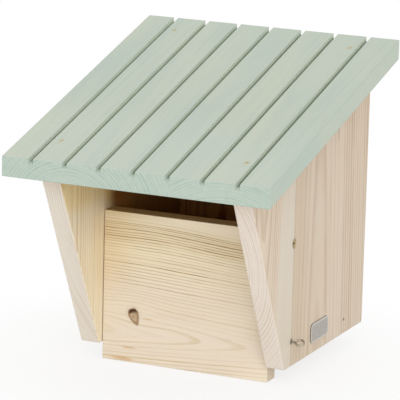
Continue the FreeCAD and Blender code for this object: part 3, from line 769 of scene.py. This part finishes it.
def wire_radius(x, turn, straight):
    """The wire's radius: a gimlet point, a rolled thread behind it, then plain wire."""
    radius = EYE_WIRE / 2
    if not straight or x > THREAD_END:
        return radius
    thread = (x / THREAD_PITCH - turn / math.tau) % 1.0
    ridge = max(0.0, 1 - abs(thread - 0.5) / RIDGE)
    fade = min(1.0, (THREAD_END - x) / THREAD_PITCH)
    radius -= THREAD_DEPTH * fade * (1 - ridge)
    return radius * min(1.0, BLUNT + (1 - BLUNT) * (x - EYE_TIP) / GIMLET)


def wire_mesh(line):
    """A closed tube about that line, as thick as the wire is at each point."""
    mesh = bmesh.new()
    rings = []
    for x, y, heading in line:
        side = Vector((-math.sin(heading), math.cos(heading), 0.0))
        ring = []
        for n in range(AROUND):
            turn = math.tau * n / AROUND
            outwards = math.cos(turn) * side + math.sin(turn) * Vector((0, 0, 1))
            radius = wire_radius(x, turn, heading == 0.0)
            ring.append(mesh.verts.new(Vector((x, y, 0.0)) + radius * outwards))
        rings.append(ring)
    for ring, following in zip(rings, rings[1:]):
        for n in range(AROUND):
            after = (n + 1) % AROUND
            mesh.faces.new((ring[n], ring[after], following[after], following[n])).smooth = True
    mesh.faces.new(reversed(rings[0]))
    mesh.faces.new(rings[-1])
    mesh.normal_update()
    return mesh


def place_in_scene(name, data):
    made = bpy.data.objects.new(name, data)
    bpy.context.scene.collection.objects.link(made)
    return made


eye_mesh = bpy.data.meshes.new("screw_eye")
wire = wire_mesh(eye_line())
wire.to_mesh(eye_mesh)
wire.free()
screw_eye = place_in_scene("screw_eye", eye_mesh)
eye_low, eye_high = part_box("lock_eye")
eye_axis = (eye_low + eye_high) / 2
to_the_lock = Matrix.Translation((eye_low.x - EYE_TIP, eye_axis.y, eye_axis.z))
screw_eye.matrix_world = to_the_lock @ Matrix.Rotation(EYE_TILT, 4, "X")
eye_mesh.materials.append(metal_finish(
    "bright_zinc", seed=8.1, clean=seen(188, 180, 163), cloudy=seen(164, 155, 138), spots=seen(108, 95, 76),
    spot_share=0.6, roughness=0.42))
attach(screw_eye, "lock")
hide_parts("lock_eye")


# Nails and brads: plain wire nails with small heads. Four hold the roof to the tops of the sides, and the
# stain went over them; dull brads through the sides and the back hold the floor.

roof_nail_steel = metal_finish(
    "roof_nail_steel", seed=5.7, clean=seen(206, 202, 178), cloudy=seen(196, 190, 162),
    spots=seen(186, 168, 132), spot_share=0.6, roughness=0.6)
brad_steel = metal_finish(
    "brad_steel", seed=6.4, clean=seen(150, 138, 122), cloudy=seen(124, 112, 96), spots=seen(96, 78, 58),
    spot_share=0.7, roughness=0.42)
lay_on(roof_nail_steel, "roof_nails")
lay_on(brad_steel, "floor_brads", "back_brads")


# The plate is thin sheet metal with rounded corners, brushed along its length and left bare. It is stuck
# to the right side, above the floor.

PLATE_LOW, PLATE_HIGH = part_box("side_plate")
PLATE_CORNER, RIM = 0.0042, 0.0013


def at_the_rim(mixed, place, normal):
    """Glue residue and painted shade on the plate's cut edge."""
    facing = mixed.off(mixed.axis(normal, "X"), 0.0)
    return mixed.times(mixed.ramp(facing, 0.75, 0.3), 0.75)


def sheen_along_the_rim(mixed, place):
    """A painted highlight along the band inside the plate's edge."""
    inner = (PLATE_HIGH - PLATE_LOW) / 2 - Vector((0, PLATE_CORNER, PLATE_CORNER))
    off = mixed.vector("SUBTRACT", place, tuple((PLATE_LOW + PLATE_HIGH) / 2))
    off = mixed.vector("SUBTRACT", mixed.vector("ABSOLUTE", off), (1.0, inner.y, inner.z))
    off = mixed.vector("LENGTH", mixed.vector("MAXIMUM", off))
    return mixed.times(mixed.ramp(off, PLATE_CORNER - 2 * RIM, PLATE_CORNER - RIM), 0.5)


plate_metal = metal_finish(
    "plate_metal", seed=9.9, clean=seen(185, 180, 172), cloudy=seen(170, 164, 156),
    spots=seen(160, 154, 146), spot_share=0.0, roughness=0.36, dulling=0.08, brushed=0.3, lie=(90, 0, 0),
    grime_and_shade=at_the_rim, painted_sheen=sheen_along_the_rim)
lay_on(plate_metal, "side_plate")


# The stage: a plain pale floor that takes the shadow and turns white further out, soft light from a white
# room with one large lamp in front, and a camera with a long lens where the photograph was taken.

FLOOR_LEVEL, FLOOR_REACH = cad_low.z, 12.0
floor_mesh = bpy.data.meshes.new("studio_floor")
corners = [(FLOOR_REACH * x, FLOOR_REACH * y, FLOOR_LEVEL)
           for x, y in ((-1, -1), (1, -1), (1, 1), (-1, 1))]
floor_mesh.from_pydata(corners, [], [(0, 1, 2, 3)])
studio_floor = place_in_scene("studio_floor", floor_mesh)


def looked_at(recipe):
    """1 for what is seen, straight or by way of a shiny thing, and 0 for what only gives light."""
    ray = recipe.node("LightPath").outputs
    indirectly = recipe.larger(ray["Is Glossy Ray"], ray["Is Transmission Ray"])
    return recipe.larger(ray["Is Camera Ray"], indirectly)


paper, sheet = new_finish("floor_paper")
sheet.tree.nodes.remove(sheet.tree.nodes["Principled BSDF"])
UNDER_BOX = ((cad_low.x + cad_high.x) / 2, (cad_low.y + cad_high.y) / 2, FLOOR_LEVEL)
FADE_FROM, FADE_TO, FADED_UNDER_BOX = 0.10, 0.32, 0.80
from_box = sheet.vector("SUBTRACT", sheet.node("TexCoord").outputs["Object"], UNDER_BOX)
far = sheet.ramp(sheet.vector("LENGTH", from_box), FADE_FROM, FADE_TO, FADED_UNDER_BOX, 1.0)
matte = sheet.node("BsdfDiffuse", {"Color": (0.93, 0.93, 0.93, 1)}).outputs[0]
white = sheet.node("Emission", {"Color": (1, 1, 1, 1), "Strength": 1.0}).outputs[0]
faded = sheet.node("MixShader", {0: sheet.times(far, looked_at(sheet)), 1: matte, 2: white}).outputs[0]
clear = sheet.node("BsdfTransparent").outputs[0]
underneath = sheet.node("NewGeometry").outputs["Backfacing"]
top = sheet.node("MixShader", {0: underneath, 1: faded, 2: clear}).outputs[0]
sheet.feed(sheet.tree.nodes["Material Output"].inputs["Surface"], top)
floor_mesh.materials.append(paper)

AMBIENT = 0.70
world = bpy.data.worlds.new("white_room")
bpy.context.scene.world = world
world.use_nodes = True
room = Recipe(world.node_tree)
background = room.tree.nodes["Background"].inputs
room.feed(background["Color"], (1, 1, 1, 1))
room.feed(background["Strength"], room.scaled(looked_at(room), 1 - AMBIENT, AMBIENT))

LAMP_TOWARDS, LAMP_STRENGTH, LAMP_SOFTNESS = Vector((-0.45, 0.86, -0.24)), 1.72, math.radians(58)
lamp = bpy.data.lights.new("front_lamp", "SUN")
lamp.energy, lamp.angle = LAMP_STRENGTH, LAMP_SOFTNESS
place_in_scene("front_lamp", lamp).rotation_euler = LAMP_TOWARDS.to_track_quat("-Z", "Y").to_euler()

AZIMUTH, ELEVATION, ROLL = math.radians(24.01), math.radians(12.94), math.radians(1.47)
AIM, DISTANCE, FOCAL_PIXELS, PICTURE = Vector((-0.1929, 0.2801, -0.1191)), 3.206, 2987.0, 400.0
CENTRE_PIXEL = (202.2, 197.7)
back_axis = Vector((math.sin(AZIMUTH) * math.cos(ELEVATION), -math.cos(AZIMUTH) * math.cos(ELEVATION),
                    math.sin(ELEVATION)))
right_axis = Vector((math.cos(AZIMUTH), math.sin(AZIMUTH), 0.0))
up_axis = back_axis.cross(right_axis)
rolled_right = math.cos(ROLL) * right_axis + math.sin(ROLL) * up_axis
rolled_up = math.cos(ROLL) * up_axis - math.sin(ROLL) * right_axis
camera = bpy.data.cameras.new("camera")
camera.sensor_width = 36.0
camera.lens = FOCAL_PIXELS / PICTURE * camera.sensor_width
camera.shift_x = (PICTURE / 2 - CENTRE_PIXEL[0]) / PICTURE
camera.shift_y = (CENTRE_PIXEL[1] - PICTURE / 2) / PICTURE
viewpoint = place_in_scene("camera", camera)
turned_to_aim = Matrix((rolled_right, rolled_up, back_axis)).transposed().to_4x4()
viewpoint.matrix_world = Matrix.Translation(AIM + DISTANCE * back_axis) @ turned_to_aim
bpy.context.scene.camera = viewpoint
bpy.context.scene.view_settings.view_transform = "Standard"
